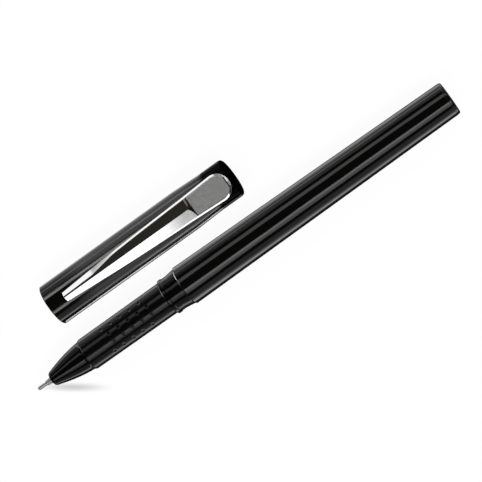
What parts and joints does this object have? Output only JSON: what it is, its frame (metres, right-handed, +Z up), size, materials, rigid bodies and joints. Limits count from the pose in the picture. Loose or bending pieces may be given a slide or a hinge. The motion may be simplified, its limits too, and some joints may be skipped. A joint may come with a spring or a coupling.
{
  "type": "fine-tip pen",
  "caption": "Slim needle-tip pen with a dimpled grip, tapered barrel and refill, its snap cap with a long metal pocket clip lying off beside it.",
  "frame": {"origin": "on the floor, under the middle of the box round the pen and its cap", "axes": "+X runs along the pen from its writing tip to its rear end, +Y from the pen to the cap beside it, +Z up, the way the clip faces"},
  "size_m": [0.1236, 0.0256, 0.0136],
  "materials": {
    "black_gloss": "polished black moulded plastic",
    "liner_plastic": "dull dark moulded plastic",
    "clip_chrome": "bright plated pressed steel",
    "needle_steel": "drawn stainless steel",
    "ball_carbide": "ground carbide",
    "clear_plastic": "translucent extruded plastic",
    "black_ink": "gel ink",
    "grease": "clear amber grease",
    "seal_rubber": "soft dark rubber"
  },
  "bodies": {
    "pen": {"needle_tube": "needle_steel", "tip_holder": "needle_steel", "nose_cone": "black_gloss", "grip_sleeve": "black_gloss", "grip_section": "black_gloss", "barrel": "black_gloss", "end_plug": "black_gloss", "refill_joint": "clear_plastic", "refill_tube": "clear_plastic", "ink_column": "black_ink", "grease_follower": "grease", "refill_tail_plug": "clear_plastic"},
    "ball": {"writing_ball": "ball_carbide"},
    "cap": {"cap_shell": "black_gloss", "cap_liner": "liner_plastic", "cap_seal": "seal_rubber", "clip_retainer": "liner_plastic"},
    "clip": {"clip": "clip_chrome"}
  },
  "joints": [
    {"name": "ball_roll", "type": "hinge", "parent": "pen", "child": "ball", "pos_m": [-0.06147, -0.00752, 0.00525], "axis": [0, 1, 0], "continuous": true},
    {"name": "cap_slide", "type": "slide", "parent": "pen", "child": "cap", "axis": [1, 0, 0], "range_m": [0, 0.0446]},
    {"name": "clip_flex", "type": "hinge", "parent": "cap", "child": "clip", "pos_m": [0.00542, 0.00705, 0.01069], "axis": [0, 0.999, 0.0436], "range_deg": [0, 4], "stiffness_Nm_per_rad": 0.5}
  ]
}
